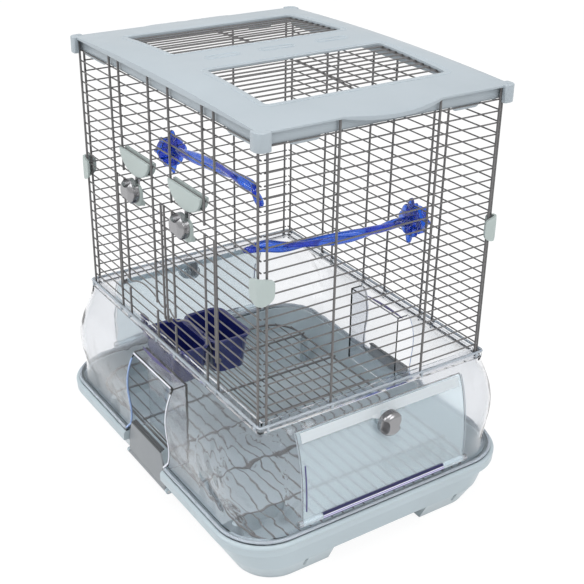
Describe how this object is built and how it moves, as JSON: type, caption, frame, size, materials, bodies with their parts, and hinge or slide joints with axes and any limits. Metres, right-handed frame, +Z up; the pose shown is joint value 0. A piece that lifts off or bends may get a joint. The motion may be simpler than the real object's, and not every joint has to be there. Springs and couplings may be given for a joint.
{
  "type": "bird cage",
  "caption": "Rectangular wire bird cage on a clear plastic debris guard and a moulded tray, with feeder doors, end hatches, perches, seed cups and a windowed roof.",
  "frame": {"origin": "middle of the footprint, on the surface that the feet stand on", "axes": "+Z up, X along the long sides, -Y towards the side with the two feeder doors"},
  "size_m": [0.457, 0.3676, 0.5071],
  "materials": {
    "tray_plastic": "moulded, satin",
    "roof_plastic": "moulded, satin",
    "pale_plastic": "moulded, satin",
    "clear_plastic": "clear, glossy",
    "wire": "dark grey powder coat",
    "steel_pin": "plain",
    "silver_plastic": "silver paint, glossy",
    "latch_plastic": "moulded, satin",
    "blue_plastic": "tinted, translucent",
    "cup_plastic": "moulded, glossy",
    "violet_plastic": "tinted, glossy"
  },
  "bodies": {
    "tray": {"base_tray": "tray_plastic", "base_latch_pin_front": "steel_pin", "base_latch_pin_back": "steel_pin"},
    "latch_front": {"base_latch_front": "latch_plastic"},
    "latch_back": {"base_latch_back": "latch_plastic"},
    "grille": {"floor_grille": "wire", "floor_grille_frame": "wire"},
    "cage": {"debris_guard": "clear_plastic", "hatch_hinge_rod_left": "violet_plastic", "hatch_hinge_rod_right": "violet_plastic", "back_panel": "wire", "front_panel_upper": "wire", "front_panel_lower": "wire", "front_panel_left_side": "wire", "front_panel_right_side": "wire", "left_panel": "wire", "right_panel": "wire", "roof_frame": "roof_plastic", "roof_grille_left": "wire", "roof_grille_right": "wire", "latch_cover_left": "pale_plastic", "latch_cover_right": "pale_plastic", "latch_cover_rear_left": "pale_plastic", "latch_cover_rear_right": "pale_plastic", "corner_clip_front_left": "pale_plastic", "corner_clip_front_right": "pale_plastic", "corner_clip_back_left": "pale_plastic", "corner_clip_back_right": "pale_plastic", "perch_left": "blue_plastic", "perch_back": "blue_plastic"},
    "nut_left": {"perch_nut_left": "blue_plastic"},
    "nut_back": {"perch_nut_back": "blue_plastic"},
    "door_left": {"feeder_door_left": "wire", "door_latch_seat_left": "pale_plastic"},
    "door_right": {"feeder_door_right": "wire", "door_latch_seat_right": "pale_plastic"},
    "knob_left": {"door_knob_left": "silver_plastic"},
    "knob_right": {"door_knob_right": "silver_plastic"},
    "hatch_left": {"guard_hatch_left": "clear_plastic"},
    "hatch_right": {"guard_hatch_right": "clear_plastic"},
    "hatch_turn_left": {"hatch_knob_left": "silver_plastic"},
    "hatch_turn_right": {"hatch_knob_right": "silver_plastic"},
    "cup_near": {"feeder_cup_near": "cup_plastic"},
    "cup_far": {"feeder_cup_far": "cup_plastic"}
  },
  "joints": [
    {"name": "cage_lift", "type": "slide", "parent": "tray", "child": "cage", "axis": [0, 0, 1], "range_m": [0, 0.08]},
    {"name": "grille_lift", "type": "slide", "parent": "tray", "child": "grille", "axis": [0, 0, 1], "range_m": [0, 0.03]},
    {"name": "base_latch_front_swing", "type": "hinge", "parent": "tray", "child": "latch_front", "pos_m": [0, -0.1759, 0.033], "axis": [1, 0, 0], "range_deg": [0, 50]},
    {"name": "base_latch_back_swing", "type": "hinge", "parent": "tray", "child": "latch_back", "pos_m": [0, 0.1759, 0.033], "axis": [-1, 0, 0], "range_deg": [0, 50]},
    {"name": "feeder_door_left_swing", "type": "hinge", "parent": "cage", "child": "door_left", "pos_m": [-0.0559, -0.14185, 0.2236], "axis": [1, 0, 0], "range_deg": [0, 110]},
    {"name": "feeder_door_right_swing", "type": "hinge", "parent": "cage", "child": "door_right", "pos_m": [0.0559, -0.14185, 0.2236], "axis": [1, 0, 0], "range_deg": [0, 110]},
    {"name": "door_knob_left_turn", "type": "hinge", "parent": "door_left", "child": "knob_left", "pos_m": [-0.0559, -0.15, 0.3578], "axis": [0, 1, 0], "range_deg": [0, 90]},
    {"name": "door_knob_right_turn", "type": "hinge", "parent": "door_right", "child": "knob_right", "pos_m": [0.0559, -0.15, 0.3578], "axis": [0, 1, 0], "range_deg": [0, 90]},
    {"name": "hatch_right_swing", "type": "hinge", "parent": "cage", "child": "hatch_right", "pos_m": [0.2199, 0, 0.074], "axis": [0, 1, 0], "range_deg": [0, 90]},
    {"name": "hatch_left_swing", "type": "hinge", "parent": "cage", "child": "hatch_left", "pos_m": [-0.2199, 0, 0.074], "axis": [0, -1, 0], "range_deg": [0, 90]},
    {"name": "hatch_knob_right_turn", "type": "hinge", "parent": "hatch_right", "child": "hatch_turn_right", "pos_m": [0.217, 0, 0.16], "axis": [1, 0, 0], "range_deg": [0, 90]},
    {"name": "hatch_knob_left_turn", "type": "hinge", "parent": "hatch_left", "child": "hatch_turn_left", "pos_m": [-0.217, 0, 0.16], "axis": [-1, 0, 0], "range_deg": [0, 90]},
    {"name": "cup_near_lift", "type": "slide", "parent": "cage", "child": "cup_near", "axis": [0, 0, 1], "range_m": [0, 0.04]},
    {"name": "cup_far_lift", "type": "slide", "parent": "cup_near", "child": "cup_far", "axis": [0, 0, 1], "range_m": [0, 0.03]},
    {"name": "perch_nut_left_turn", "type": "hinge", "parent": "cage", "child": "nut_left", "pos_m": [-0.2, -0.032, 0.3395], "axis": [-1, 0, 0], "continuous": true},
    {"name": "perch_nut_back_turn", "type": "hinge", "parent": "cage", "child": "nut_back", "pos_m": [0.068, 0.15, 0.3029], "axis": [0, 1, 0], "continuous": true}
  ]
}
